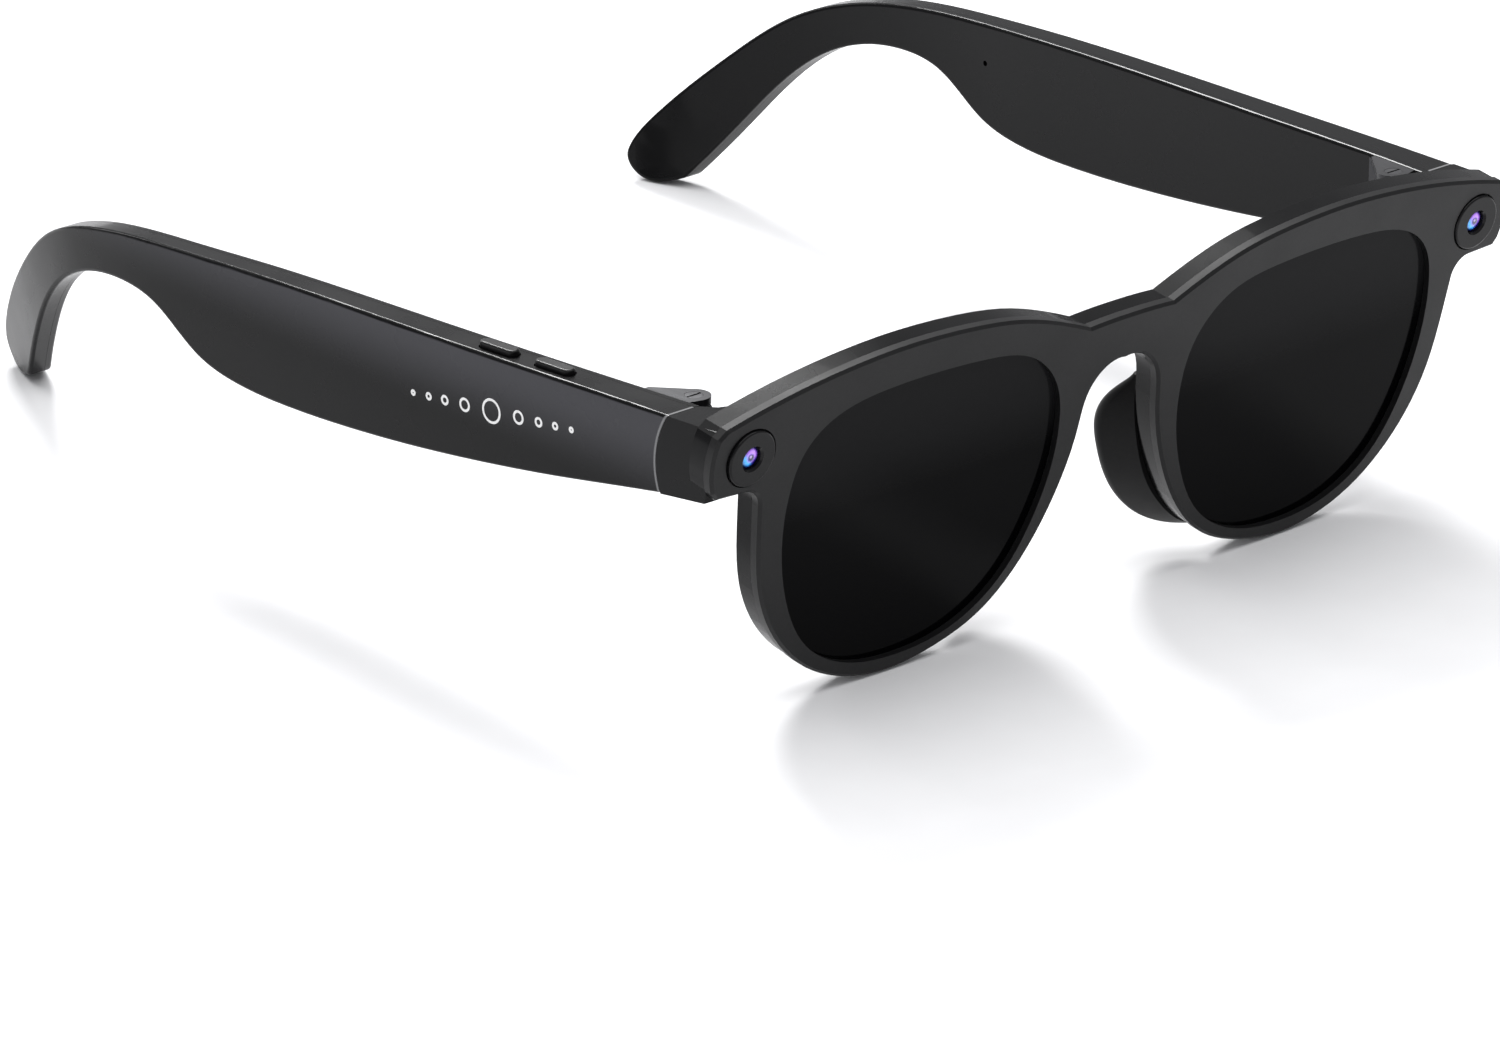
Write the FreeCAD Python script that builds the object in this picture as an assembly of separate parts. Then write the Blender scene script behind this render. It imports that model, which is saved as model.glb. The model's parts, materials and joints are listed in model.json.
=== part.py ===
import FreeCAD, Part
import math
import os

from FreeCAD import Vector

# Smart glasses: a one-piece front with two camera windows, and two folding temples that
# hold the electronics.  Millimetres.  The shape is drawn as it is worn: +X is the
# wearer's left, -Y is forwards, +Z is up, and the origin is in the middle of the front
# face, level with the cameras.  The last step pitches the glasses by REST_PITCH, so that
# they lie on their lower rims and temple tips, and puts the origin under their middle.

# ---- driving dimensions ---------------------------------------------------------------
FRONT_TILT = 9.94            # the rims lean in towards the cheeks by this angle
FRONT_BOW_RADIUS = 1990.0    # the front is nearly flat across the face
REST_PITCH = 3.01            # nose-down angle between the worn pose and the table

PLATE_THICK = 1.5            # front plate
FRONT_THICK = 4.4            # front plate and rim body together
PLATE_BEVEL = 0.4
LENS_THICK = 1.7
LENS_DEPTH = 0.95            # lens face behind the front face
LENS_GRIP = 0.7              # how far the lens reaches past its opening
FIT_GAP = 0.08               # gap between parts that are assembled together
GROOVE = 0.15                # step between front plate and rim body

CAMERA_X = 67.8
CAMERA_V = 0.3
BEZEL_RADIUS = 4.0
BEZEL_PROUD = 0.4
BEZEL_GROOVE = 0.2           # open ring between the camera window and the plate
CAMERA_LENS_RADIUS = 1.5
CAMERA_BARREL_RADIUS = 2.2
CAMERA_BASE = 5.0

PAD_LEAN = 30.0              # the nose pads lean inwards from straight back
PAD_SETBACK = 1.2
PAD_ROOT = 1.5

HINGE_X = 65.5
HINGE_Y = 14.4
KNUCKLE_RADIUS = 2.2
HINGE_PIN_RADIUS = 0.7
HINGE_BORE_GAP = 0.05        # radial running clearance of the hinge pin
HINGE_TOP = 5.0
HINGE_PLATE = 1.0            # thickness of the temple side's upper and lower plates
HINGE_BOTTOM = -4.0
WASHER_THICK = 0.3

TEMPLE_WALL = 1.1
EDGE_ROUND = 0.5
COVER_THICK = 1.3            # inner cover of the temple
PARTING_GAP = 0.12           # gap between end piece and temple when open
CROWN_RADIUS = 130.0         # the temple's sides are crowned about its middle line
CROWN_LEVEL = -3.0
CAVITY_START = 22.0
CAVITY_END = 106.0

BUTTON_LENGTH = 6.6
BUTTON_WIDTH = 2.0
BUTTON_TOP = 5.75
BUTTON_TRAVEL = 0.4
BUTTON_GAP = 0.2
POWER_BUTTON_Y = 33.8
CAPTURE_BUTTON_Y = 44.2

BUTTON_FLANGE_LOW = 3.15

BATTERY_Y = 63.0
BATTERY_LENGTH = 28.0
BATTERY_THICK = 2.1
BOARD_THICK = 0.8
BOARD_TOP = 1.0
SPEAKER_Y = 86.5
GRILLE_Y = 86.5
GRILLE_LENGTH = 7.4
GRILLE_WIDTH = 1.6
MIC_Y = 100.9
MIC_Z = -1.9
SEAM_GAP = 0.04              # hairline between temple shell and inner cover
FRAME_SCREW_Y = 9.9
FRAME_SCREW_LEVELS = (-1.2, 2.2)
TEMPLE_SCREW_Y = 18.6
TEMPLE_SCREW_LEVELS = (-1.6, 2.4)

CHARGE_Y = 31.0              # charging seat on the right temple's inner face
CHARGE_Z = -1.8
CHARGE_LENGTH = 13.0
CHARGE_WIDTH = 4.2
CHARGE_PROUD = 0.2
CONTACT_SPOTS = (-3.3, -1.1, 1.1, 3.3)
MAGNET_SPOTS = (-4.6, 4.6)

RING_CENTRE = (43.0, -2.6)   # touch marks: distance behind the front, height
RING_SLOPE = -0.09
RING_STEPS = ((0.0, 1.75), (5.1, 1.0), (8.9, 0.72), (12.0, 0.58), (15.0, 0.46))
RING_LINE = 0.36
RING_DEPTH = 0.12

# Half outlines of the front, as (x, height in the tilted plane).
BRIDGE_TOP = ((0, 4.25), (4, 4.2), (7.8, 4.0))
BROW = ((7.8, 4.0), (13, 6.1), (20, 8.3), (31, 9.85), (41, 10.15), (50, 9.6), (60, 8.2), (72.4, 5.3))
END_ARC = ((73.7, 4.2), (74.4, 0.6), (73.7, -3.7))
END_BOTTOM = ((72.8, -4.8), (67.8, -4.9))
RIM = ((65.0, -7.8), (64.4, -13), (62.7, -21.5), (58.6, -29.2), (51.5, -35.6), (44, -38.7),
       (37, -39.5), (29, -38.3), (21, -35.0), (14.2, -28.2), (9.8, -20), (7.3, -11),
       (6.0, -5.4), (3.6, -3.0), (0, -2.4))
LENS_LOWER = ((60.3, -11.0), (58.0, -23.4), (53.2, -31.4), (45, -36.2), (36, -37.3), (26.5, -35.7),
              (18.4, -30.3), (13.6, -22.0), (11.9, -16.2), (11.4, -11.0))
LENS_UPPER = ((11.4, -11.0), (13.0, -3.0), (18.4, 2.4), (27, 4.4), (36, 4.8), (45, 4.5), (51.5, 3.4),
              (55.9, 1.2), (58.7, -2.2), (59.9, -6.2), (60.3, -11.0))
CABLE_PATH = ((62.5, 2.4), (57, 5.2), (49, 7.1), (40, 7.5), (30, 7.1), (21, 5.7), (13.5, 3.2), (7, 1.2),
              (0, 0.9))

# Nose pad, as (x, height, reach behind the rim, half thickness) down the nose side.
PAD_STATIONS = ((6.8, -9.2, 0.9, 0.5), (7.3, -11.1, 2.6, 0.9), (7.9, -13.4, 4.9, 1.2), (8.7, -16.4, 6.6, 1.3),
                (10.2, -21.0, 7.1, 1.3), (12.8, -26.4, 7.1, 1.3), (16.2, -30.7, 6.9, 1.3),
                (19.6, -33.9, 5.6, 1.2), (22.4, -35.8, 3.0, 0.9), (24.4, -36.8, 1.0, 0.5))

# Side view of the temple, as (distance behind the front, height).
TEMPLE_TOP = ((2.4, 5.15), (51, 4.85), (90, 4.45), (104, 3.9), (117, 3.0), (129.4, 0.6), (138.2, -3.1),
              (148, -10.7), (157.6, -20.4), (161.5, -26.7))
TEMPLE_TIP = ((161.5, -26.7), (160.3, -29.6), (156.6, -30.9), (153.2, -30.0), (150.8, -27.6))
TEMPLE_UNDER = ((150.8, -27.6), (145.9, -21.3), (138.2, -12.1), (132.4, -7.6), (125, -4.7), (118, -4.0),
                (111, -5.2), (102, -10.4), (94.5, -12.4), (84, -13.0), (70, -12.6), (51, -11.1),
                (31.5, -8.7), (12.1, -5.8), (2.4, -4.85))
PARTING = ((10.6, 5.13), (12.5, -1.0), (11.7, -5.77))

# Plan view of the temple: outer face and thickness, as (distance behind the front, value).
TEMPLE_PLAN = ((0, 73.3), (12, 73.9), (31, 74.7), (65, 75.7), (94, 76.1), (109, 76.0), (121, 75.3),
               (133, 73.5), (146, 69.6), (162, 63.0), (170, 59.7))
TEMPLE_THICKNESS = ((0, 6.1), (12, 6.0), (31, 5.7), (50, 5.45), (90, 4.7), (110, 4.2), (170, 4.1))

OUT = "parts"
os.makedirs(OUT, exist_ok=True)


# ---- curves and solids ------------------------------------------------------------------
def value_at(points, position):
    """Read a smooth curve through (position, value) points."""
    last = len(points) - 1
    slopes = []
    for i in range(last + 1):
        before = points[max(i - 1, 0)]
        after = points[min(i + 1, last)]
        slopes.append((after[1] - before[1]) / (after[0] - before[0]))
    i = 0
    while i < last - 1 and position > points[i + 1][0]:
        i += 1
    span = points[i + 1][0] - points[i][0]
    t = (position - points[i][0]) / span
    start = (1 + 2 * t) * (1 - t) ** 2 * points[i][1] + t * (1 - t) ** 2 * span * slopes[i]
    end = t * t * (3 - 2 * t) * points[i + 1][1] + t * t * (t - 1) * span * slopes[i + 1]
    return start + end


def front_point(pair, flip=1):
    return Vector(flip * pair[0], 0, pair[1])


def side_point(pair):
    return Vector(0, pair[0], pair[1])


def spline(points):
    curve = Part.BSplineCurve()
    curve.interpolate(points)
    return curve.toShape()


def aimed_spline(points, start, end, stretch_ends=True):
    """A spline that leaves its first point along start and reaches its last along end."""
    curve = Part.BSplineCurve()
    curve.interpolate(Points=points, InitialTangent=start, FinalTangent=end, Scale=stretch_ends)
    return curve.toShape()


def arc(points):
    return Part.Arc(*points).toShape()


def face_of(edges):
    return Part.Face(Part.Wire(Part.__sortEdges__(edges)))


def polygon(points):
    return Part.Face(Part.makePolygon(points + [points[0]]))


def mirrored(shape):
    return shape.mirror(Vector(0, 0, 0), Vector(1, 0, 0))


def both_sides(shape):
    return {"left": shape, "right": mirrored(shape)}


def stadium(length, width):
    """A pill outline along Y, centred on the origin."""
    radius = width / 2
    half = length / 2 - radius
    left = Vector(-radius, -half, 0)
    right = Vector(radius, -half, 0)
    far_left = Vector(-radius, half, 0)
    far_right = Vector(radius, half, 0)
    edges = [Part.makeLine(far_left, left), arc([left, Vector(0, -half - radius, 0), right]),
             Part.makeLine(right, far_right), arc([far_right, Vector(0, half + radius, 0), far_left])]
    return face_of(edges)


# ---- the front ----------------------------------------------------------------------------
def tilted(shape):
    """Lean a shape drawn upright in the plane of the front."""
    leaned = shape.copy()
    leaned.rotate(Vector(0, 0, 0), Vector(1, 0, 0), FRONT_TILT)
    return leaned


def bow(x):
    """How far the bowed front falls back at a distance from the middle."""
    return x * x / (2 * FRONT_BOW_RADIUS)


def behind_front(depth):
    """Everything behind the bowed surface at one depth."""
    grid = []
    for x in range(-88, 89, 22):
        grid.append([Vector(x, bow(x) + depth, z) for z in (-60, -30, 0, 30)])
    surface = Part.BSplineSurface()
    surface.interpolate(grid)
    return surface.toShape().extrude(Vector(0, 40, 0))


def bent_layer(face, near, far):
    """The part of a prism on face that lies between two depths behind the bowed front."""
    prism = face.extrude(Vector(0, 40, 0))
    prism.translate(Vector(0, -10, 0))
    return prism.common(behind_front(near)).cut(behind_front(far))


def front_outline():
    edges = []
    for flip in (1, -1):
        bridge = [front_point(p, flip) for p in BRIDGE_TOP]
        brow = [front_point(p, flip) for p in BROW]
        end = [front_point(p, flip) for p in END_ARC]
        bottom = [front_point(p, flip) for p in END_BOTTOM]
        rim = [front_point(p, flip) for p in RIM]
        corner = Vector(flip * 66.0, 0, -5.6)
        edges += [spline(bridge), spline(brow), Part.makeLine(brow[-1], end[0]), arc(end)]
        edges += [Part.makeLine(end[-1], bottom[0]), Part.makeLine(bottom[0], bottom[1])]
        edges += [arc([bottom[1], corner, rim[0]])]
        edges += [spline(rim)]
    return face_of(edges)


def lens_opening(flip):
    lower = [front_point(p, flip) for p in LENS_LOWER]
    upper = [front_point(p, flip) for p in LENS_UPPER]
    down = Vector(0, 0, -1)
    up = Vector(0, 0, 1)
    return face_of([aimed_spline(lower, down, up, False), aimed_spline(upper, up, down, False)])


def grown(face, margin):
    """A face with its outline moved outwards, redrawn in plain splines."""
    edges = []
    for edge in face.makeOffset2D(margin).OuterWire.Edges:
        if isinstance(edge.Curve, Part.Line):
            edges.append(edge)
        else:
            edges.append(spline(edge.discretize(Number=6 + int(edge.Length / 3))))
    return face_of(edges)


def cable_ribbon(width):
    """The brow cable's outline from one camera to the other."""
    upper = [Vector(-x, 0, v + width / 2) for x, v in CABLE_PATH]
    upper += [Vector(x, 0, v + width / 2) for x, v in reversed(CABLE_PATH[:-1])]
    lower = [Vector(p.x, 0, p.z - width) for p in upper]
    ends = [Part.makeLine(upper[0], lower[0]), Part.makeLine(upper[-1], lower[-1])]
    return face_of([spline(upper), spline(lower)] + ends)


def camera_disc(radius, near, far, flip=1):
    """A cylinder on the camera axis between two depths behind the front face."""
    surface = bow(CAMERA_X)
    start = Vector(flip * CAMERA_X, surface + near, CAMERA_V)
    return Part.makeCylinder(radius, far - near, start, Vector(0, 1, 0))


def on_front_face(edge):
    """Whether an edge of the untilted front lies in its bowed front face."""
    middle = edge.valueAt((edge.FirstParameter + edge.LastParameter) / 2)
    return abs(middle.y - bow(middle.x)) < 0.01


def make_front_plate(outline):
    plate = bent_layer(outline, 0, PLATE_THICK).Solids[0]
    plate = plate.makeChamfer(PLATE_BEVEL, [edge for edge in plate.Edges if on_front_face(edge)])
    for flip in (1, -1):
        opening = lens_opening(flip)
        seat = grown(opening, LENS_GRIP + FIT_GAP)
        plate = plate.cut(bent_layer(opening, -1, PLATE_THICK + 1))
        plate = plate.cut(bent_layer(seat, LENS_DEPTH, PLATE_THICK + 1))
        plate = plate.cut(camera_disc(BEZEL_RADIUS + BEZEL_GROOVE, -1, 0.9, flip))
        plate = plate.cut(camera_disc(CAMERA_BARREL_RADIUS + 0.3, -1, PLATE_THICK + 1, flip))
    return tilted(plate.Solids[0])


def make_lens(flip):
    blank = grown(lens_opening(flip), LENS_GRIP)
    lens = bent_layer(blank, LENS_DEPTH + FIT_GAP, LENS_DEPTH + FIT_GAP + LENS_THICK)
    return tilted(lens.Solids[0])


def end_piece():
    """The block that runs back from the end of the front to the temple's parting line."""
    plan = polygon([Vector(60.5, 0, -20), Vector(60.5, 5.4, -20), Vector(64.2, 7.6, -20),
                    Vector(66.6, 8.6, -20), Vector(68.2, 10.6, -20), Vector(68.2, 20, -20),
                    Vector(90, 20, -20), Vector(90, 0, -20)])
    block = plan.extrude(Vector(0, 0, 40))
    top = Part.makeLine(Vector(50, 0, 5.15), side_point(PARTING[0]) + Vector(50, 0, 0))
    under = Part.makeLine(side_point(PARTING[2]) + Vector(50, 0, 0), Vector(50, 0, -4.75))
    rear = arc([side_point(p) + Vector(50, 0, 0) for p in PARTING])
    front = Part.makeLine(Vector(50, 0, -4.75), Vector(50, 0, 5.15))
    side = face_of([top, under, rear, front]).extrude(Vector(50, 0, 0))
    outer = outer_zone(0)
    block = block.common(side).common(outer)
    rear_of_plate = bent_layer(polygon([Vector(40, 0, -30), Vector(90, 0, -30), Vector(90, 0, 30),
                                        Vector(40, 0, 30)]), -9, PLATE_THICK)
    return block.cut(tilted(rear_of_plate))


def make_rim_body(outline, hinge_part):
    body = tilted(bent_layer(grown(outline, -GROOVE), PLATE_THICK, FRONT_THICK))
    block = end_piece()
    body = body.fuse(block).fuse(mirrored(block)).removeSplitter()
    body = body.cut(tilted(bent_layer(cable_ribbon(2.0), 0, PLATE_THICK + 0.8)))
    half = CAMERA_BASE / 2 + 0.3
    for flip in (1, -1):
        opening = lens_opening(flip)
        seat = grown(opening, LENS_GRIP + FIT_GAP)
        body = body.cut(tilted(bent_layer(opening, 0, FRONT_THICK + 4)))
        body = body.cut(tilted(bent_layer(seat, 0, LENS_DEPTH + LENS_THICK + 2 * FIT_GAP)))
        recess = Part.makeBox(2 * half, 5.3, 2 * half, Vector(flip * CAMERA_X - half, 1.0, CAMERA_V - half))
        body = body.cut(tilted(camera_disc(CAMERA_BARREL_RADIUS + 0.3, 0, 3.6, flip))).cut(tilted(recess))
        body = body.cut(hinge_part if flip == 1 else mirrored(hinge_part))
    return body.Solids[0]


def make_camera_bezel():
    bezel = camera_disc(BEZEL_RADIUS, -BEZEL_PROUD, 0.8)
    rim = [edge for edge in bezel.Edges if edge.valueAt(0).y < 0.95 and edge.Length > 20]
    bezel = bezel.makeFillet(0.3, rim)
    surface = bow(CAMERA_X)
    cone = Part.makeCone(CAMERA_LENS_RADIUS + 0.35, CAMERA_LENS_RADIUS + FIT_GAP, 0.3,
                         Vector(CAMERA_X, surface - BEZEL_PROUD, CAMERA_V), Vector(0, 1, 0))
    return tilted(bezel.cut(cone).cut(camera_disc(CAMERA_LENS_RADIUS + FIT_GAP, -1, 1)))


def make_camera_lens():
    lens = camera_disc(CAMERA_LENS_RADIUS, -0.1, 0.8)
    surface = bow(CAMERA_X)
    dome_radius = 3.0
    dome = Part.makeSphere(dome_radius, Vector(CAMERA_X, surface - 0.05 + dome_radius, CAMERA_V))
    return tilted(lens.common(dome))


def make_camera_module():
    barrel = camera_disc(CAMERA_BARREL_RADIUS, 0.88, 3.4)
    surface = bow(CAMERA_X)
    half = CAMERA_BASE / 2
    base = Part.makeBox(CAMERA_BASE, 1.4, CAMERA_BASE,
                        Vector(CAMERA_X - half, surface + 3.4, CAMERA_V - half))
    return tilted(barrel.fuse(base).removeSplitter())


def make_brow_cable():
    return tilted(bent_layer(cable_ribbon(1.4), PLATE_THICK + 0.3, PLATE_THICK + 0.5).Solids[0])


def make_nose_pad(rear_zone):
    """A moulded flange that follows the nose side of the rim and leans in towards the nose."""
    wires = []
    last = len(PAD_STATIONS) - 1
    lean = math.radians(PAD_LEAN)
    for i, (x, height, reach, half) in enumerate(PAD_STATIONS):
        before = PAD_STATIONS[max(i - 1, 0)]
        after = PAD_STATIONS[min(i + 1, last)]
        along = Vector(after[0] - before[0], 0, after[1] - before[1]).normalize()
        inward = Vector(along.z, 0, -along.x)
        edge = Vector(x, FRONT_THICK, height) - inward * PAD_SETBACK
        outward = inward * math.sin(lean) + Vector(0, math.cos(lean), 0)
        root = edge - outward * PAD_ROOT
        tip = edge + outward * (reach - half)
        side = outward.cross(along) * half
        edges = [Part.makeLine(root + side, tip + side), arc([tip + side, tip + outward * half, tip - side]),
                 Part.makeLine(tip - side, root - side), Part.makeLine(root - side, root + side)]
        wires.append(Part.Wire(edges))
    pad = Part.makeLoft(wires, True, False)
    return tilted(pad.common(rear_zone).Solids[0])


# ---- the temple -----------------------------------------------------------------------------
def crown(z):
    return (z - CROWN_LEVEL) ** 2 / (2 * CROWN_RADIUS)


def outer_x(y, z):
    return value_at(TEMPLE_PLAN, y) - crown(z)


def inner_x(y, z):
    return outer_x(y, z) - value_at(TEMPLE_THICKNESS, y)


def zone_inside(surface_x, inset):
    """Everything on the head side of one of the temple's side surfaces."""
    stations = [-6, 0, 6, 12, 21, 31, 42, 54, 66, 80, 94, 104, 114, 124, 133, 141, 148, 155, 162, 168]
    levels = [-38, -28, -18, -8, 2, 12]
    grid = [[Vector(surface_x(y, z) - inset, y, z) for z in levels] for y in stations]
    surface = Part.BSplineSurface()
    surface.interpolate(grid)
    return surface.toShape().extrude(Vector(-40, 0, 0))


def outer_zone(inset):
    return zone_inside(outer_x, inset)


def inner_zone(inset):
    return zone_inside(inner_x, -inset)


def temple_profile():
    front = [side_point(p) + Vector(0, PARTING_GAP, 0) for p in PARTING]
    top = [front[0]] + [side_point(p) for p in TEMPLE_TOP[1:]]
    under = [side_point(p) for p in TEMPLE_UNDER[:-2]] + [front[2]]
    tip = [side_point(p) for p in TEMPLE_TIP]
    level = Vector(0, 1, 0)
    past_ear = Vector(0, 0.22, -1)
    under_ear = Vector(0, -0.62, 0.78)
    return face_of([aimed_spline(top, level, past_ear), aimed_spline(tip, past_ear, under_ear),
                    aimed_spline(under, under_ear, Vector(0, -1, 0.14)), arc(front)])


def temple_body():
    prism = temple_profile().extrude(Vector(100, 0, 0))
    body = prism.common(outer_zone(0)).cut(inner_zone(0)).Solids[0]
    long_edges = [edge for edge in body.Edges if edge.BoundBox.YMax > 20 and edge.Length > 8]
    return body.makeFillet(EDGE_ROUND, long_edges).Solids[0]


def cavity_profile():
    stations = [CAVITY_START, 36, 52, 70, 88, 98, CAVITY_END]
    top_line = TEMPLE_TOP
    under_line = tuple(reversed(TEMPLE_UNDER[2:]))
    top = [Vector(0, y, value_at(top_line, y) - TEMPLE_WALL - 0.1) for y in stations]
    under = [Vector(0, y, value_at(under_line, y) + TEMPLE_WALL) for y in stations]
    ends = [Part.makeLine(top[0], under[0]), Part.makeLine(top[-1], under[-1])]
    return face_of([spline(top), spline(under)] + ends)


def cavity():
    prism = cavity_profile().extrude(Vector(100, 0, 0))
    return prism.common(outer_zone(TEMPLE_WALL)).cut(inner_zone(COVER_THICK))




def cavity_middle(y):
    """Place and direction of the cavity's middle at one distance behind the front."""
    def middle(station):
        inner = inner_x(station, CROWN_LEVEL) + COVER_THICK
        outer = outer_x(station, CROWN_LEVEL) - TEMPLE_WALL
        return (inner + outer) / 2
    turn = math.degrees(math.atan2(middle(y + 4) - middle(y - 4), 8))
    return middle(y), turn


def in_cavity(shape, y):
    """Move a shape drawn about the Z axis to the cavity's middle, turned along it."""
    x, turn = cavity_middle(y)
    placed = shape.copy()
    placed.rotate(Vector(0, 0, 0), Vector(0, 0, 1), -turn)
    placed.translate(Vector(x, y, 0))
    return placed


def on_inner_face(shape, y, z):
    """Move a shape drawn on the plane x = 0, with +X into the wall, to the inner face."""
    slope = (inner_x(y + 4, z) - inner_x(y - 4, z)) / 8
    placed = shape.copy()
    placed.rotate(Vector(0, 0, 0), Vector(0, 0, 1), -math.degrees(math.atan(slope)))
    placed.translate(Vector(inner_x(y, z), y, z))
    return placed


def block(length, thick, z_low, z_high):
    """A box centred on the Z axis, with its length along Y."""
    return Part.makeBox(thick, length, z_high - z_low, Vector(-thick / 2, -length / 2, z_low))


def grille_opening(margin):
    plate = Part.makeBox(GRILLE_WIDTH + 2 * margin, GRILLE_LENGTH + 2 * margin, 0.5,
                         Vector(-GRILLE_WIDTH / 2 - margin, -GRILLE_LENGTH / 2 - margin, -12.85))
    return plate


def make_temple_cover(body, hinge_cut):
    cover = body.common(inner_zone(COVER_THICK - SEAM_GAP)).cut(hinge_cut)
    pinhole = Part.makeCylinder(0.4, 10, Vector(60, MIC_Y, MIC_Z), Vector(1, 0, 0))
    pinhole.translate(Vector(8, 0, 0))
    cover = cover.cut(pinhole)
    return cover.cut(temple_screws(0.02)).Solids[0]


def make_temple_shell(body, hinge_cut):
    shell = body.cut(inner_zone(COVER_THICK)).cut(cavity()).cut(hinge_cut)
    cable_slot = Part.makeBox(1.4, 13, 3.0, Vector(70.0, 10.5, -1.5))
    shell = shell.cut(cable_slot)
    shell = shell.cut(in_cavity(grille_opening(FIT_GAP), GRILLE_Y))
    for step in range(-2, 3):
        slot = Part.makeBox(1.0, 0.8, 6, Vector(-0.5, 1.4 * step - 0.4, -16))
        shell = shell.cut(in_cavity(slot, GRILLE_Y))
    return shell.cut(temple_screws(0.02)).Solids[0]


# ---- hinges -----------------------------------------------------------------------------------
def hinge_disc(radius, low, high):
    return Part.makeCylinder(radius, high - low, Vector(HINGE_X, HINGE_Y, low))


def hinge_pin(radius):
    return hinge_disc(radius, HINGE_BOTTOM - 1, HINGE_TOP + 1)


def make_temple_hinge(margin=0):
    """Upper and lower plates on a base let into the temple's inner face."""
    edge = KNUCKLE_RADIUS + 0.1 + margin
    outline = [(HINGE_X - 1.9, HINGE_Y + 1.2), (67.7, 20.6 + margin), (68.9 + margin, 20.6 + margin),
               (68.9 + margin, 13.0 - margin), (HINGE_X + 0.9, HINGE_Y - 2.1)]
    web = polygon([Vector(x, y, 0) for x, y in outline])
    base = Part.makeBox(1.0 + 2 * margin, 8.4 + 2 * margin, 8.6 + 2 * margin,
                        Vector(68.2 - margin, 13.1 - margin, -4.0 - margin))
    hinge = base
    levels = ((HINGE_TOP - HINGE_PLATE, HINGE_TOP), (HINGE_BOTTOM, HINGE_BOTTOM + HINGE_PLATE))
    for low, high in levels:
        slab = web.extrude(Vector(0, 0, high - low + 2 * margin))
        slab.translate(Vector(0, 0, low - margin))
        hinge = hinge.fuse(slab).fuse(hinge_disc(edge, low - margin, high + margin))
    hinge = hinge.removeSplitter()
    if margin == 0:
        hinge = hinge.cut(hinge_pin(HINGE_PIN_RADIUS + 0.02))
        hinge = hinge.cut(hinge_disc(1.25, HINGE_TOP - 0.45, HINGE_TOP + 1))
        hinge = hinge.cut(temple_screws(0.02))
    return hinge


def make_frame_hinge(margin=0):
    """A knuckle between the temple's two plates, on an arm let into the end piece."""
    low = HINGE_BOTTOM + HINGE_PLATE + WASHER_THICK - margin
    high = HINGE_TOP - HINGE_PLATE - WASHER_THICK + margin
    outline = [(HINGE_X - 2.0, HINGE_Y - 0.9), (65.9, 9.6), (67.2 - margin, 8.4 - margin),
               (69.4 + margin, 8.4 - margin), (69.4 + margin, 10.2 + margin), (67.5, 11.0), (67.5, 14.4)]
    arm = polygon([Vector(x, y, low) for x, y in outline]).extrude(Vector(0, 0, high - low))
    hinge = arm.fuse(hinge_disc(KNUCKLE_RADIUS, low, high)).removeSplitter()
    if margin == 0:
        hinge = hinge.cut(hinge_pin(HINGE_PIN_RADIUS + HINGE_BORE_GAP))
        hinge = hinge.cut(frame_screws(0.02))
        for z in FRAME_SCREW_LEVELS:
            hinge = hinge.cut(Part.makeCylinder(0.95, 6.6, Vector(60, FRAME_SCREW_Y, z), Vector(1, 0, 0)))
    return hinge


def screw_along_x(x, y, z, length, head_radius, radius, margin):
    """A small countersunk screw pointing outwards, its head's top at x."""
    head = Part.makeCylinder(head_radius + margin, 0.5, Vector(x, y, z), Vector(1, 0, 0))
    shaft = Part.makeCylinder(radius + margin, length, Vector(x, y, z), Vector(1, 0, 0))
    return head.fuse(shaft)


def frame_screws(margin=0):
    screws = [screw_along_x(66.1, FRAME_SCREW_Y, z, 5.4, 0.9, 0.5, margin) for z in FRAME_SCREW_LEVELS]
    return Part.makeCompound(screws)


def temple_screws(margin=0):
    screws = [screw_along_x(68.15, TEMPLE_SCREW_Y, z, 2.2, 0.85, 0.5, margin) for z in TEMPLE_SCREW_LEVELS]
    return Part.makeCompound(screws)


def make_hinge_screw():
    head = hinge_disc(1.2, HINGE_TOP - 0.42, HINGE_TOP - 0.02)
    slot = Part.makeBox(2.6, 0.35, 0.3, Vector(HINGE_X - 1.3, HINGE_Y - 0.175, HINGE_TOP - 0.2))
    return head.fuse(hinge_disc(HINGE_PIN_RADIUS, HINGE_BOTTOM, HINGE_TOP - 0.4)).removeSplitter().cut(slot)


def make_hinge_washers():
    washers = []
    for low in (HINGE_TOP - HINGE_PLATE - WASHER_THICK, HINGE_BOTTOM + HINGE_PLATE):
        washer = hinge_disc(1.9, low + 0.02, low + WASHER_THICK - 0.02)
        washers.append(washer.cut(hinge_pin(HINGE_PIN_RADIUS + 0.03)))
    return Part.makeCompound(washers)


# ---- what the temples hold ----------------------------------------------------------------------
def make_battery():
    cell = block(BATTERY_LENGTH, BATTERY_THICK, -9.8, 2.2)
    cell = cell.makeFillet(0.8, [edge for edge in cell.Edges if edge.Length > BATTERY_LENGTH - 1])
    tab = block(1.6, 1.0, -6.0, -1.6)
    tab.translate(Vector(0, -BATTERY_LENGTH / 2 - 0.75, 0))
    return in_cavity(cell.fuse(tab).removeSplitter(), BATTERY_Y)


def make_board(length, y):
    board = block(length, BOARD_THICK, -4.8, BOARD_TOP)
    for step in (-1, 1):
        notch = Part.makeCylinder(0.6, 4, Vector(-2, step * (length / 2 - 1.4), -4.0), Vector(1, 0, 0))
        board = board.cut(notch)
    return in_cavity(board, y)


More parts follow.
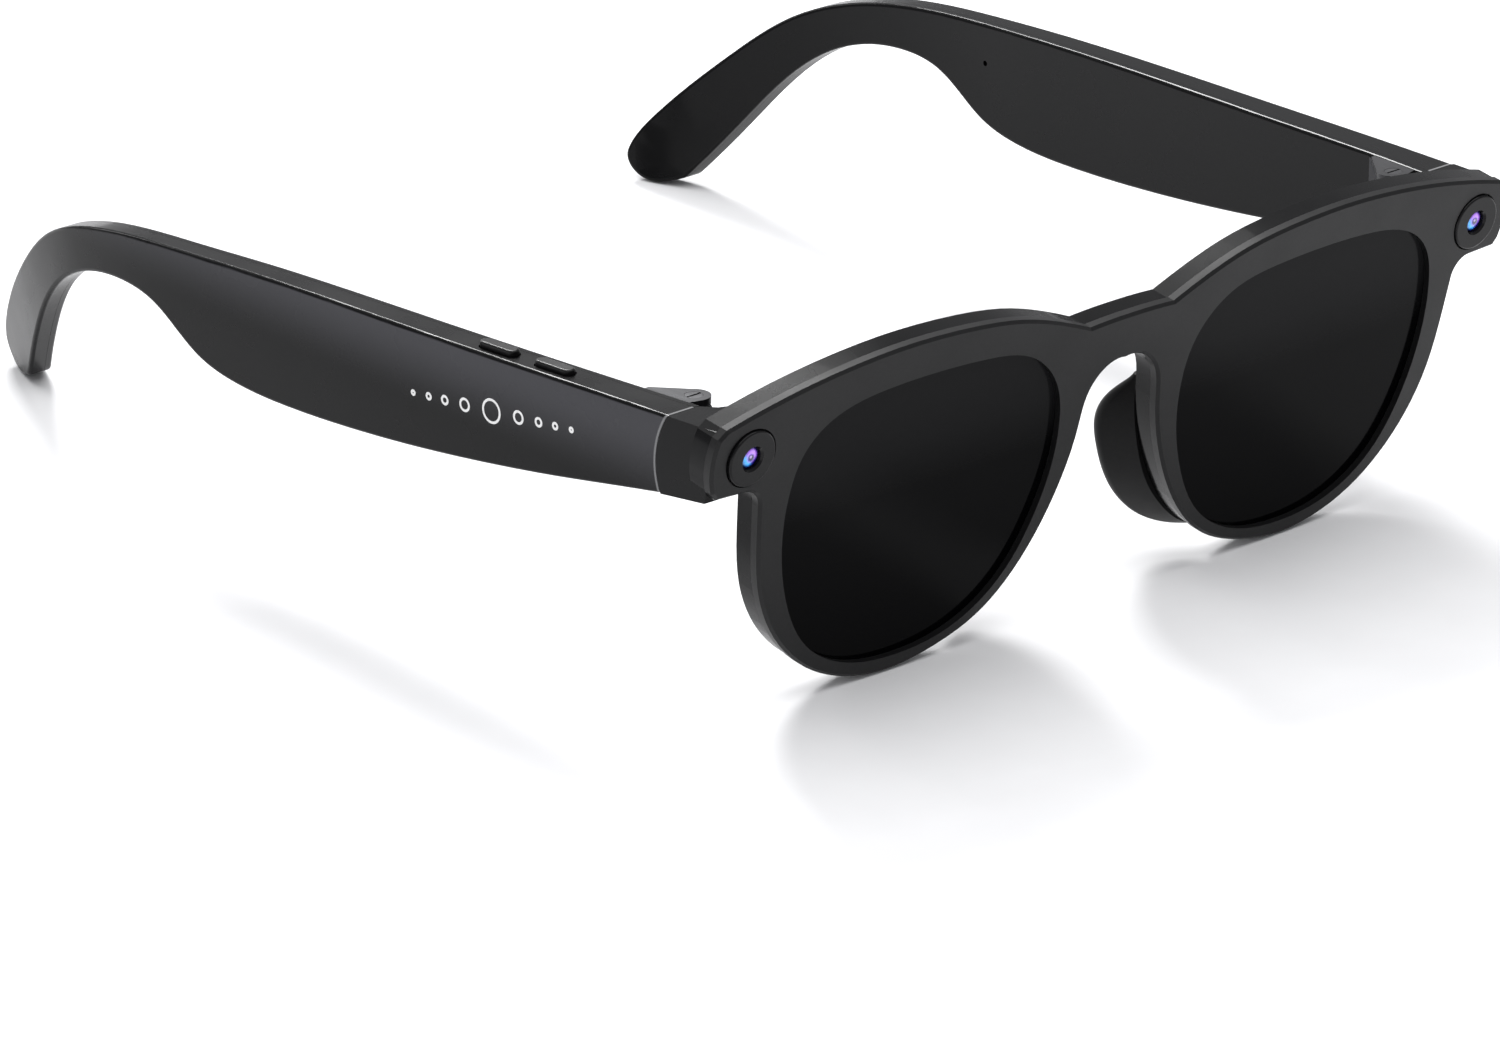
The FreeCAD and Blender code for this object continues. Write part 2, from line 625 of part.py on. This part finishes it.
def make_chips(y, sizes):
    """Chips on the head side of a board; sizes holds (offset, low, length, height)."""
    chips = []
    for offset, low, length, height in sizes:
        chip = Part.makeBox(0.7, length, height, Vector(-BOARD_THICK / 2 - 0.72, offset, low))
        chips.append(in_cavity(chip, y))
    return Part.makeCompound(chips)


def make_speaker():
    can = block(11.0, 1.7, -11.2, -4.2)
    can = can.makeFillet(0.6, [edge for edge in can.Edges if edge.Length < 1.8])
    return in_cavity(can, SPEAKER_Y)


def make_grille():
    plate = grille_opening(0)
    for step in range(-2, 3):
        for side in (-1, 1):
            hole = Part.makeCylinder(0.22, 3, Vector(side * 0.35, 1.4 * step, -14))
            plate = plate.cut(hole)
    return in_cavity(plate, GRILLE_Y)


def make_microphone():
    can = Part.makeBox(0.65, 3.0, 2.2, Vector(COVER_THICK + 0.05, -1.5, -1.1))
    return on_inner_face(can, MIC_Y, MIC_Z)


def make_temple_cable():
    return Part.makeBox(0.2, 9.8, 2.4, Vector(70.6, 13.0, -1.2))


def make_touch_sensor():
    sheet = outer_zone(TEMPLE_WALL + 0.03).cut(outer_zone(TEMPLE_WALL + 0.18))
    return sheet.common(Part.makeBox(30, 31, 6, Vector(55, 27.5, -5.6))).Solids[0]


def ring_tubes(depth_face):
    """Rings drawn along X through the outer wall, cut off at one depth below its face."""
    tubes = []
    for distance, radius in RING_STEPS:
        for side in ((-1, 1) if distance else (1,)):
            y = RING_CENTRE[0] + side * distance
            z = RING_CENTRE[1] + side * distance * RING_SLOPE
            start = Vector(70, y, z)
            tube = Part.makeCylinder(radius, 10, start, Vector(1, 0, 0))
            tubes.append(tube.cut(Part.makeCylinder(radius - RING_LINE, 10, start, Vector(1, 0, 0))))
    return Part.makeCompound(tubes).cut(depth_face)


def make_button(y):
    cap = stadium(BUTTON_LENGTH, BUTTON_WIDTH).extrude(Vector(0, 0, BUTTON_TOP - 3.4))
    cap.translate(Vector(0, 0, 3.4))
    top_edges = [edge for edge in cap.Edges if edge.BoundBox.ZMin > BUTTON_TOP - 0.01]
    cap = cap.makeFillet(0.3, top_edges)
    flange = stadium(BUTTON_LENGTH + 0.8, BUTTON_WIDTH + 0.7).extrude(Vector(0, 0, 0.45))
    flange.translate(Vector(0, 0, BUTTON_FLANGE_LOW))
    return in_cavity(cap.fuse(flange).removeSplitter(), y)


def button_hole(y):
    hole = stadium(BUTTON_LENGTH + 2 * BUTTON_GAP, BUTTON_WIDTH + 2 * BUTTON_GAP).extrude(Vector(0, 0, 4))
    hole.translate(Vector(0, 0, 3))
    return in_cavity(hole, y)


def make_switches():
    switches = []
    for y in (POWER_BUTTON_Y, CAPTURE_BUTTON_Y):
        case = block(3.0, 2.2, BOARD_TOP + 0.02, 2.2)
        plunger = Part.makeCylinder(0.6, BUTTON_FLANGE_LOW - BUTTON_TRAVEL - 0.05 - 2.2, Vector(0, 0, 2.2))
        switches.append(in_cavity(case.fuse(plunger).removeSplitter(), y))
    return Part.makeCompound(switches)


def charging_plate(margin):
    plate = stadium(CHARGE_LENGTH + 2 * margin, CHARGE_WIDTH + 2 * margin)
    plate.rotate(Vector(0, 0, 0), Vector(0, 1, 0), 90)
    plate = plate.extrude(Vector(CHARGE_PROUD + 0.7 + margin, 0, 0))
    plate.translate(Vector(-CHARGE_PROUD, 0, 0))
    return plate


def charging_discs(radius, spots, near, far):
    discs = [Part.makeCylinder(radius, far - near, Vector(near, spot, 0), Vector(1, 0, 0)) for spot in spots]
    return Part.makeCompound(discs)


def make_charging_parts():
    """Seat plate, contact pads and magnets of the charging lead's connector."""
    plate = charging_plate(0).cut(charging_discs(0.62, CONTACT_SPOTS, -CHARGE_PROUD, 1))
    pads = charging_discs(0.6, CONTACT_SPOTS, -CHARGE_PROUD, 0.6)
    magnets = charging_discs(1.1, MAGNET_SPOTS, COVER_THICK + 0.03, COVER_THICK + 0.48)
    return [on_inner_face(shape, CHARGE_Y, CHARGE_Z) for shape in (plate, pads, magnets)]


# ---- the whole object --------------------------------------------------------------------------
def build():
    nodes = {}
    outline = front_outline()
    frame_hinge = make_frame_hinge()
    frame_insert = make_frame_hinge(0.03).fuse(frame_screws(0.02))
    nodes["front_plate"] = make_front_plate(outline)
    rim = make_rim_body(outline, frame_insert)
    nodes["rim_body"] = rim
    rear_zone = bent_layer(polygon([Vector(-40, 0, -50), Vector(40, 0, -50), Vector(40, 0, 20),
                                    Vector(-40, 0, 20)]), FRONT_THICK, FRONT_THICK + 20)
    pad = make_nose_pad(rear_zone)
    nodes["brow_flex_cable"] = make_brow_cable()

    body = temple_body()
    hinge_cut = make_temple_hinge(0.05)
    shell = make_temple_shell(body, hinge_cut)
    cover = make_temple_cover(body, hinge_cut)
    paired = {
        "nose_pad": pad,
        "camera_bezel": make_camera_bezel(),
        "camera_lens": make_camera_lens(),
        "camera_module": make_camera_module(),
        "frame_hinge": frame_hinge,
        "frame_screws": frame_screws(),
        "temple_hinge": make_temple_hinge(),
        "temple_screws": temple_screws(),
        "hinge_screw": make_hinge_screw(),
        "hinge_washers": make_hinge_washers(),
        "battery": make_battery(),
        "speaker": make_speaker(),
        "speaker_grille": make_grille(),
        "microphone": make_microphone(),
        "temple_cable": make_temple_cable(),
    }
    for name, shape in paired.items():
        for side, copy in both_sides(shape).items():
            nodes[side + "_" + name] = copy
    for flip, side in ((1, "left"), (-1, "right")):
        nodes[side + "_sun_lens"] = make_lens(flip)

    nodes["left_temple_shell"] = shell
    nodes["left_temple_cover"] = cover
    nodes["left_board"] = make_board(22, 35)
    nodes["left_board_chips"] = make_chips(35, ((-8, -4, 5, 4), (0, -3.6, 7, 3.6)))

    plate, pads, magnets = make_charging_parts()
    cover = cover.cut(on_inner_face(charging_plate(0.03), CHARGE_Y, CHARGE_Z))
    marks = ring_tubes(outer_zone(RING_DEPTH)).common(outer_zone(0))
    for y in (POWER_BUTTON_Y, CAPTURE_BUTTON_Y):
        shell = shell.cut(button_hole(y))
    shell = shell.cut(marks)
    right_only = {
        "right_temple_shell": shell,
        "right_temple_cover": cover,
        "right_board": make_board(22.5, 35.3),
        "right_board_chips": make_chips(35.3, ((-10, -4, 7, 4.4), (-1.5, -3.6, 4, 3.6), (4, -4.2, 5.5, 4.6))),
        "power_button": make_button(POWER_BUTTON_Y),
        "capture_button": make_button(CAPTURE_BUTTON_Y),
        "button_switches": make_switches(),
        "touch_sensor": make_touch_sensor(),
        "touch_marks": marks,
        "charging_seat": plate,
        "charging_contacts": pads,
        "charging_magnets": magnets,
    }
    for name, shape in right_only.items():
        nodes[name] = mirrored(shape)
    return nodes


def laid_down(nodes):
    """Pitch the worn glasses onto the table and centre them over the origin."""
    for shape in nodes.values():
        shape.rotate(Vector(0, 0, 0), Vector(1, 0, 0), -REST_PITCH)
    bounds = Part.makeCompound(list(nodes.values())).optimalBoundingBox()
    shift = Vector(-bounds.Center.x, -bounds.Center.y, -bounds.ZMin)
    for shape in nodes.values():
        shape.translate(shift)
    return shift


parts = build()
offset = laid_down(parts)
print("shift after pitch", [round(v, 4) for v in offset])
for name in sorted(parts):
    shape = parts[name]
    shape.exportStep(os.path.join(OUT, name + ".step"))
    print(name, shape.isValid(), len(shape.Solids), round(shape.Volume, 2))
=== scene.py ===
import json
import math

import bpy
from mathutils import Matrix, Vector


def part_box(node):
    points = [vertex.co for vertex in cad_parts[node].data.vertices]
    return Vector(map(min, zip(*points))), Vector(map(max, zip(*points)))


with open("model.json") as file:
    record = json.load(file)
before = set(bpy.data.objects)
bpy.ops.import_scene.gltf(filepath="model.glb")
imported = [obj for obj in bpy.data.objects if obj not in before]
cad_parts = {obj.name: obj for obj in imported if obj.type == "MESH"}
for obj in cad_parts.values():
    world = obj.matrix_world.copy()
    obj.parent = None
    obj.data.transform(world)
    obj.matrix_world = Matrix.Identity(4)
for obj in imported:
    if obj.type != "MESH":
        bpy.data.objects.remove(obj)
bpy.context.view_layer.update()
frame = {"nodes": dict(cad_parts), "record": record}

# Smart glasses on a pale floor.  Metres, +Z up, the wearer's left at +X, the front at -Y.
NODES = frame["nodes"]
SLOT_OF = {part["node"]: part["material_slot"] for part in frame["record"]["subparts"]}
MICRON = 0.000001

# ---- camera ---------------------------------------------------------------------------
CAMERA_AT = Vector((-0.8999, -0.94116, 0.54236))
CAMERA_AIM = Vector((-0.005478, -0.01407, -0.007625))
CAMERA_ROLL = math.radians(2.3496)
CAMERA_LENS = 243.15
SENSOR_WIDTH = 36.0
CLIP_NEAR = 0.05
CLIP_FAR = 60.0

# ---- places on the glasses, where they lie at rest --------------------------------------
# The temple's front edge is an arc about an axis along X, at this (y, z).
PARTING_CENTRE = (-0.079237, 0.037697)
PARTING_RADIUS = 0.012173
# The painted highlight line runs along that edge, with its middle this far outside the arc.
PARTING_LINE_OFFSET = 0.00022
PARTING_LINE_WIDTH = 0.00020
# Heights between which a surface goes from its darkest to its lightest: the lens's painted
# reflection and the casing's painted sheen.
LENS_REFLECTION_HEIGHTS = (0.012, 0.046)
# Colours of the lens's painted reflection, from the bottom up.
LENS_PAINTED_REFLECTION = (
    (0.0, (0.0006, 0.0006, 0.0008, 1)), (0.40, (0.0014, 0.0014, 0.0016, 1)),
    (0.72, (0.0085, 0.0085, 0.0090, 1)), (1.0, (0.0125, 0.0125, 0.0130, 1)))
# Painted sheen on the temples' sides and on the other casing.
TEMPLE_SHEEN_HEIGHTS = (0.0305, 0.0410)
CASING_SHEEN_HEIGHTS = (0.010, 0.050)
# How much lighter the painted sheen makes the casing at its upper edge, on the temples and
# elsewhere.
TEMPLE_SHEEN_GAIN = 21.0
CASING_SHEEN_GAIN = 1.5
# The sheen fades in as the X part of a face's normal goes from the first to the second.
SHEEN_FACING = (0.90, 0.99)

# ---- surface settings -------------------------------------------------------------------
NOISE_RANGE = (0.3, 0.7)        # most of a noise texture's values fall in here
TONE_SHARE = 0.25               # the tone's noise is coarser than the grain's
TONE_DETAIL = 3.0
GRAIN_DETAIL = 2.0
SMUDGE_SCALE = 90.0
SMUDGE_DETAIL = 4.0
BUMP_STRENGTH = 0.6
TRACE_SCALE = 900.0             # circuit board traces
TRACE_GAP = 0.03
MESH_SCALE = 3200.0             # holes of the speaker grille's mesh
MESH_HOLE = (0.25, 0.42)
MESH_DEPTH = 60 * MICRON

# ---- camera lens coating, in shares of the lens's radius --------------------------------
# Painted glow: the coating's colours are also given off by emission at this strength.
COATING_GLOW = 0.55
COATING_RINGS = (
    (0.0, (0.02, 0.02, 0.16, 1)), (0.20, (0.004, 0.004, 0.06, 1)),
    (0.34, (0.05, 0.03, 0.30, 1)), (0.46, (0.42, 0.22, 0.90, 1)),
    (0.66, (0.16, 0.04, 0.48, 1)), (0.80, (0.02, 0.01, 0.20, 1)),
    (0.90, (0.004, 0.004, 0.03, 1)))
# Soft patches laid over the rings: heading in radians, ring, width, strength, colour.
COATING_PATCHES = (
    (-0.8, 0.70, 0.45, 0.90, [0.006, 0.006, 0.16, 1]),
    (0.9, 0.55, 0.36, 0.90, [0.46, 0.20, 0.85, 1]),
    (-2.5, 0.62, 0.34, 0.95, [0.03, 0.42, 0.90, 1]))
PATCH_EDGE = (0.1, 0.95)        # cosines of the angles where a patch starts and is full
PUPIL = (0.14, 0.30)            # where the pupil's soft edge starts and ends
PUPIL_COLOUR = [0.003, 0.003, 0.03, 1]
# Painted glint: a soft light spot a little off the lens's centre.
GLINT_CENTRE = (-0.06, 0.10)
GLINT = (0.04, 0.20)            # where the glint's soft edge starts and ends
GLINT_STRENGTH = 0.75
GLINT_COLOUR = [0.55, 0.42, 0.85, 1]

# ---- floor and light --------------------------------------------------------------------
FLOOR_HALF = 6.0
FLOOR_DROP = 0.0002             # keeps the floor clear of the faces that rest on it
WORLD_COLOUR = (0.97, 0.975, 1.0)
WORLD_STRENGTH = 0.45
# Name, place, aim, size and watts of each area light.
LIGHTS = (
    ("overhead", (0.0, 0.0, 1.8), (0, 0, 0), (2.6, 2.6), 40),
    ("back_softbox", (0.54, 1.00, 1.02), (0.0, -0.03, 0.04), (0.40, 0.40), 19.0),
    ("brow_strip", (-0.15, 1.25, 0.62), (0, -0.05, 0.04), (0.25, 0.45), 2.2))


# ---- node helpers -----------------------------------------------------------------------
def shade(colour, factor):
    return [min(1.0, channel * factor) for channel in colour[:3]] + [1.0]


class Surface:
    """A procedural material: a Principled shader with grain, tone and roughness variation."""

    def __init__(self, name, colour, rough, grain=9000.0, depth=4 * MICRON, spread=0.12,
                 rough_spread=0.05, stretch=(1, 1, 1), **sockets):
        self.material = bpy.data.materials.new(name)
        self.material.use_nodes = True
        self.tree = self.material.node_tree
        self.shader = self.tree.nodes["Principled BSDF"]
        coords = self.add("ShaderNodeTexCoord")
        self.place = coords.outputs["Object"]
        self.facing = coords.outputs["Normal"]
        mapping = self.add("ShaderNodeMapping")
        mapping.inputs["Scale"].default_value = stretch
        self.link(self.place, mapping.inputs["Vector"])
        stretched = mapping.outputs["Vector"]

        low, high = NOISE_RANGE
        tone = self.noise(grain * TONE_SHARE, TONE_DETAIL, stretched)
        self.tones = self.ramp(tone, ((low, shade(colour, 1 - spread)),
                                      (high, shade(colour, 1 + spread))))
        self.link(self.tones, self.shader.inputs["Base Color"])

        smudge = self.noise(SMUDGE_SCALE, SMUDGE_DETAIL, self.place)
        roughness = self.span(smudge, low, high, rough - rough_spread, rough + rough_spread)
        self.link(roughness, self.shader.inputs["Roughness"])

        fine = self.noise(grain, GRAIN_DETAIL, stretched)
        self.bump = self.add("ShaderNodeBump")
        self.bump.inputs["Strength"].default_value = BUMP_STRENGTH
        self.bump.inputs["Distance"].default_value = depth
        self.link(fine, self.bump.inputs["Height"])
        self.link(self.bump.outputs["Normal"], self.shader.inputs["Normal"])
        for socket, value in sockets.items():
            self.shader.inputs[socket.replace("_", " ")].default_value = value

    def add(self, kind):
        return self.tree.nodes.new(kind)

    def link(self, source, target):
        self.tree.links.new(source, target)

    def noise(self, scale, detail, vector):
        node = self.add("ShaderNodeTexNoise")
        node.inputs["Scale"].default_value = scale
        node.inputs["Detail"].default_value = detail
        self.link(vector, node.inputs["Vector"])
        return node.outputs["Fac"]

    def ramp(self, value, stops):
        node = self.add("ShaderNodeValToRGB")
        elements = node.color_ramp.elements
        while len(elements) < len(stops):
            elements.new(0.5)
        for element, (position, colour) in zip(elements, stops):
            element.position = position
            element.color = colour
        self.link(value, node.inputs["Fac"])
        return node.outputs["Color"]

    def span(self, value, low, high, new_low, new_high):
        """Carry a value smoothly from one range to another."""
        node = self.add("ShaderNodeMapRange")
        node.interpolation_type = "SMOOTHSTEP"
        sockets = ("From Min", "From Max", "To Min", "To Max")
        for socket, number in zip(sockets, (low, high, new_low, new_high)):
            node.inputs[socket].default_value = number
        self.link(value, node.inputs["Value"])
        return node.outputs["Result"]

    def axis(self, name, vector=None):
        node = self.add("ShaderNodeSeparateXYZ")
        self.link(vector or self.place, node.inputs["Vector"])
        return node.outputs[name]

    def maths(self, operation, *values):
        node = self.add("ShaderNodeMath")
        node.operation = operation
        for socket, value in zip(node.inputs, values):
            if isinstance(value, (int, float)):
                socket.default_value = value
            else:
                self.link(value, socket)
        return node.outputs["Value"]

    def reach(self, first, second):
        """The distance from the origin of a point in a plane."""
        squares = (self.maths("MULTIPLY", first, first), self.maths("MULTIPLY", second, second))
        return self.maths("SQRT", self.maths("ADD", *squares))

    def lobe(self, turn, heading, share, ring, width, strength):
        """A soft patch on a ring around the centre, towards one heading."""
        nearness = self.maths("COSINE", self.maths("SUBTRACT", turn, heading))
        side = self.span(nearness, *PATCH_EDGE, 0.0, 1.0)
        off = self.maths("ABSOLUTE", self.maths("SUBTRACT", share, ring))
        band = self.span(off, 0.0, width, 1.0, 0.0)
        return self.maths("MULTIPLY", self.maths("MULTIPLY", side, band), strength)

    def spot(self, across, along, centre, inner, outer, strength):
        """A soft round spot."""
        x = self.maths("SUBTRACT", across, centre[0])
        z = self.maths("SUBTRACT", along, centre[1])
        return self.span(self.reach(x, z), inner, outer, strength, 0.0)

    def mix(self, factor, first, second):
        node = self.add("ShaderNodeMix")
        node.data_type = "RGBA"
        self.link(factor, node.inputs["Factor"])
        colours = [socket for socket in node.inputs if socket.type == "RGBA"]
        for socket, value in zip(colours, (first, second)):
            if isinstance(value, (list, tuple)):
                socket.default_value = value
            else:
                self.link(value, socket)
        return next(socket for socket in node.outputs if socket.type == "RGBA")


# ---- materials --------------------------------------------------------------------------
def tinted_lens():
    """Dark tinted lens with a painted reflection: painted lighter along the brow, near black
    below.
    """
    made = Surface("tinted_lens", (0.009, 0.009, 0.010), 0.10, grain=4000.0,
                   depth=0.4 * MICRON, spread=0.05, rough_spread=0.03,
                   Specular_IOR_Level=0.035)
    # Painted reflection: the colour goes from near black at the bottom to lighter at the top.
    lift = made.span(made.axis("Z"), *LENS_REFLECTION_HEIGHTS, 0.0, 1.0)
    made.link(made.ramp(lift, LENS_PAINTED_REFLECTION), made.shader.inputs["Base Color"])
    return made.material


def casing(name, rough, heights, gain):
    """Moulded black casing with a painted sheen: its sides are painted lighter towards their
    upper edge.
    """
    colour = (0.0024, 0.0024, 0.0027)
    made = Surface(name, colour, rough, grain=7000.0, depth=1.2 * MICRON, spread=0.08,
                   rough_spread=0.04, Specular_IOR_Level=0.06, Coat_Weight=0.16,
                   Coat_Roughness=0.06)
    # Painted sheen, only on faces whose normal points along X.
    lift = made.span(made.axis("Z"), *heights, 0.0, 1.0)
    sideways = made.maths("ABSOLUTE", made.axis("X", made.facing))
    lift = made.maths("MULTIPLY", lift, made.span(sideways, *SHEEN_FACING, 0.0, 1.0))
    made.tones = made.mix(lift, made.tones, shade(colour, gain))
    made.link(made.tones, made.shader.inputs["Base Color"])
    return made


def painted_edge_highlight(made, centre, radius, width, colour):
    """A thin painted highlight line where the casing's edge follows an arc about an axis along
    X.
    """
    y = made.maths("SUBTRACT", made.axis("Y"), centre[0])
    z = made.maths("SUBTRACT", made.axis("Z"), centre[1])
    off = made.maths("ABSOLUTE", made.maths("SUBTRACT", made.reach(y, z), radius))
    line = made.span(off, 0.5 * width, 1.5 * width, 1.0, 0.0)
    made.link(made.mix(line, made.tones, colour), made.shader.inputs["Base Color"])


def board():
    """Green lacquer over a net of paler traces."""
    made = Surface("circuit_board", (0.010, 0.075, 0.030), 0.35, grain=3000.0, spread=0.15)
    brick = made.add("ShaderNodeTexBrick")
    brick.inputs["Scale"].default_value = TRACE_SCALE
    brick.inputs["Mortar Size"].default_value = TRACE_GAP
    made.link(made.place, brick.inputs["Vector"])
    traces = made.mix(brick.outputs["Fac"], made.tones, [0.06, 0.22, 0.09, 1])
    made.link(traces, made.shader.inputs["Base Color"])
    return made.material


def mesh_metal():
    """Metal with a fine regular pattern of dark holes."""
    made = Surface("grille_metal", (0.05, 0.05, 0.052), 0.4, depth=MESH_DEPTH, spread=0.1,
                   Metallic=1.0)
    cells = made.add("ShaderNodeTexVoronoi")
    cells.inputs["Scale"].default_value = MESH_SCALE
    cells.inputs["Randomness"].default_value = 0.0
    made.link(made.place, cells.inputs["Vector"])
    metal = made.span(cells.outputs["Distance"], *MESH_HOLE, 0.0, 1.0)
    woven = made.mix(metal, [0.002, 0.002, 0.002, 1], made.tones)
    made.link(woven, made.shader.inputs["Base Color"])
    made.link(metal, made.bump.inputs["Height"])
    return made.material


def coated_glass(name, centre, radius):
    """Camera lens: a dark pupil inside violet, blue and cyan rings of coating, with a painted
    glint, all also emitted as a painted glow.
    """
    made = Surface(name, (0.02, 0.02, 0.05), 0.05, grain=4000.0, depth=0.2 * MICRON,
                   spread=0.05, rough_spread=0.02, Coat_Weight=1.0, Coat_Roughness=0.02)
    shift = made.add("ShaderNodeVectorMath")
    shift.operation = "SUBTRACT"
    shift.inputs[1].default_value = centre
    made.link(made.place, shift.inputs[0])
    across = made.axis("X", shift.outputs["Vector"])
    along = made.axis("Z", shift.outputs["Vector"])
    share = made.maths("DIVIDE", made.reach(across, along), radius)
    turn = made.maths("ARCTAN2", along, across)

    shown = made.ramp(share, COATING_RINGS)
    for heading, ring, width, strength, colour in COATING_PATCHES:
        shown = made.mix(made.lobe(turn, heading, share, ring, width, strength), shown, colour)
    shown = made.mix(made.span(share, *PUPIL, 1.0, 0.0), shown, PUPIL_COLOUR)
    # Painted glint: a soft light spot a little off the centre.
    glint_at = [part * radius for part in GLINT_CENTRE]
    inner, outer = (part * radius for part in GLINT)
    glint = made.spot(across, along, glint_at, inner, outer, GLINT_STRENGTH)
    shown = made.mix(glint, shown, GLINT_COLOUR)
    made.link(shown, made.shader.inputs["Base Color"])
    # Painted glow: the coating's colours are emitted too, though the lens is no lamp.
    made.link(shown, made.shader.inputs["Emission Color"])
    made.shader.inputs["Emission Strength"].default_value = COATING_GLOW
    return made.material


def plain(name, colour, rough, **settings):
    return Surface(name, colour, rough, **settings).material


temple_surface = casing("temple_casing", 0.28, TEMPLE_SHEEN_HEIGHTS, TEMPLE_SHEEN_GAIN)
# Painted highlight: a thin light line along the temple's front edge, where its bevel would
# catch the light.
painted_edge_highlight(temple_surface, PARTING_CENTRE, PARTING_RADIUS + PARTING_LINE_OFFSET,
              PARTING_LINE_WIDTH, [0.20, 0.20, 0.205, 1])
TEMPLE_CASING = temple_surface.material
MATERIALS = {
    "front_satin": plain("front_satin", (0.0080, 0.0080, 0.0084), 0.40, depth=3 * MICRON,
                         spread=0.10, Specular_IOR_Level=0.16, Coat_Weight=0.10,
                         Coat_Roughness=0.10),
    "casing_gloss": casing("casing_gloss", 0.26, CASING_SHEEN_HEIGHTS,
                           CASING_SHEEN_GAIN).material,
    "tinted_lens": tinted_lens(),
    "bezel_gloss": plain("bezel_gloss", (0.005, 0.005, 0.0054), 0.16, depth=0.5 * MICRON,
                         rough_spread=0.03, Specular_IOR_Level=0.14, Coat_Weight=0.08,
                         Coat_Roughness=0.04),
    "module_black": plain("module_black", (0.004, 0.004, 0.0044), 0.5, Specular_IOR_Level=0.1),
    "pad_rubber": plain("pad_rubber", (0.0032, 0.0032, 0.0034), 0.45, grain=6000.0,
                        depth=6 * MICRON, spread=0.2, Specular_IOR_Level=0.10),
    "hinge_metal": plain("hinge_metal", (0.045, 0.045, 0.048), 0.36, grain=6000.0,
                         stretch=(1, 0.08, 1), Metallic=0.85),
    "screw_steel": plain("screw_steel", (0.10, 0.10, 0.105), 0.30, grain=5000.0,
                         stretch=(1, 1, 0.1), Metallic=1.0),
    "washer_nylon": plain("washer_nylon", (0.55, 0.55, 0.52), 0.5),
    "flex_film": plain("flex_film", (0.45, 0.17, 0.03), 0.35, spread=0.2),
    "battery_foil": plain("battery_foil", (0.62, 0.62, 0.65), 0.32, grain=1500.0,
                          depth=20 * MICRON, Metallic=0.9),
    "circuit_board": board(),
    "chip_resin": plain("chip_resin", (0.02, 0.02, 0.021), 0.5),
    "speaker_can": plain("speaker_can", (0.5, 0.5, 0.5), 0.3, Metallic=1.0),
    "grille_metal": mesh_metal(),
    "button_plastic": plain("button_plastic", (0.0045, 0.0045, 0.0048), 0.28, grain=7000.0,
                            depth=2 * MICRON, Specular_IOR_Level=0.25),
    "seat_plastic": plain("seat_plastic", (0.006, 0.006, 0.0064), 0.30, Specular_IOR_Level=0.3),
    "contact_gold": plain("contact_gold", (0.85, 0.58, 0.22), 0.22, grain=5000.0,
                          depth=3 * MICRON, Metallic=1.0),
    "mark_white": plain("mark_white", (0.80, 0.80, 0.80), 0.45, spread=0.04),
}


def cover(obj, material):
    obj.data.materials.clear()
    obj.data.materials.append(material)


for name, node in NODES.items():
    slot = SLOT_OF[name]
    if slot == "coated_glass":
        low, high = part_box(name)
        cover(node, coated_glass(name + "_coating", (low + high) / 2, (high.x - low.x) / 2))
    else:
        cover(node, TEMPLE_CASING if name.endswith("temple_shell") else MATERIALS[slot])


# ---- floor, light and camera ------------------------------------------------------------
def make_floor(half):
    mesh = bpy.data.meshes.new("floor")
    corners = [(-half, -half, 0), (half, -half, 0), (half, half, 0), (-half, half, 0)]
    mesh.from_pydata(corners, [], [(0, 1, 2, 3)])
    floor = bpy.data.objects.new("floor", mesh)
    floor.location.z = -FLOOR_DROP
    bpy.context.scene.collection.objects.link(floor)
    cover(floor, plain("floor_paint", (0.86, 0.86, 0.87), 0.7, grain=400.0,
                       depth=20 * MICRON, spread=0.01, Specular_IOR_Level=0.1))


def make_light(name, place, aim, size, power):
    lamp = bpy.data.lights.new(name, "AREA")
    lamp.shape = "RECTANGLE"
    lamp.size, lamp.size_y = size
    lamp.energy = power
    obj = bpy.data.objects.new(name, lamp)
    obj.location = place
    obj.rotation_euler = (Vector(aim) - Vector(place)).to_track_quat("-Z", "Y").to_euler()
    bpy.context.scene.collection.objects.link(obj)


def make_world(colour, strength):
    world = bpy.data.worlds.new("studio")
    bpy.context.scene.world = world
    world.use_nodes = True
    background = world.node_tree.nodes["Background"]
    background.inputs["Color"].default_value = (*colour, 1)
    background.inputs["Strength"].default_value = strength


def make_camera():
    data = bpy.data.cameras.new("camera")
    data.lens = CAMERA_LENS
    data.sensor_width = SENSOR_WIDTH
    data.sensor_fit = "HORIZONTAL"
    data.clip_start = CLIP_NEAR
    data.clip_end = CLIP_FAR
    camera = bpy.data.objects.new("camera", data)
    turn = (CAMERA_AIM - CAMERA_AT).to_track_quat("-Z", "Y").to_matrix().to_4x4()
    roll = Matrix.Rotation(CAMERA_ROLL, 4, "Z")
    camera.matrix_world = Matrix.Translation(CAMERA_AT) @ turn @ roll
    bpy.context.scene.collection.objects.link(camera)
    bpy.context.scene.camera = camera


make_floor(FLOOR_HALF)
make_world(WORLD_COLOUR, WORLD_STRENGTH)
for light in LIGHTS:
    make_light(*light)
make_camera()
bpy.context.scene.view_settings.view_transform = "Standard"
